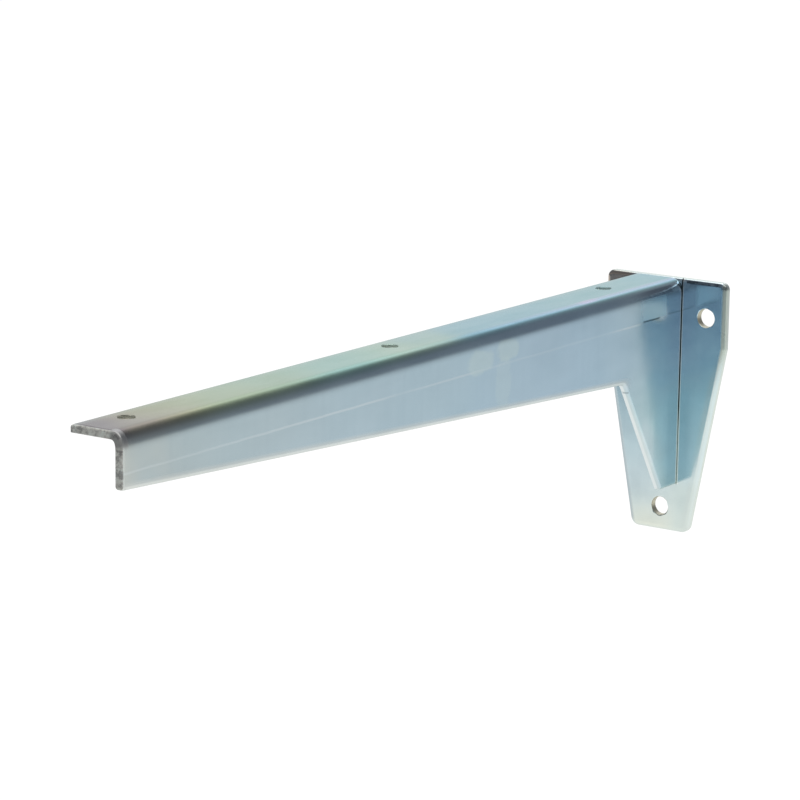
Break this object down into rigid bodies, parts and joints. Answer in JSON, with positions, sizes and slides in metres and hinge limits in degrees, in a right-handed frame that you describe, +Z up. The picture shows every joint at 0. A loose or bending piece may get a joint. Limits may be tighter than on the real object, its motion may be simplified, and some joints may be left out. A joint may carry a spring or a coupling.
{
  "type": "shelf bracket",
  "caption": "Heavy steel shelf bracket: a folded L-section arm that tapers to its free end and widens into a leg, welded to a tapered wall plate with screw holes.",
  "frame": {"origin": "on the wall plane, halfway between the two upper screw holes of the wall plate", "axes": "+Y into the wall, so the arm points along -Y; +Z up; +X the side that the arm's web faces"},
  "size_m": [0.074, 0.48, 0.14],
  "materials": {
    "zinc_plate": "bright zinc plate with a blue passivate that shades to pale green and lilac",
    "plated_weld": "weld bead under the same zinc plate, duller than the sheet"
  },
  "bodies": {
    "root": {"wall_plate": "zinc_plate", "arm": "zinc_plate", "flange_weld": "plated_weld", "web_weld": "plated_weld"}
  },
  "joints": []
}
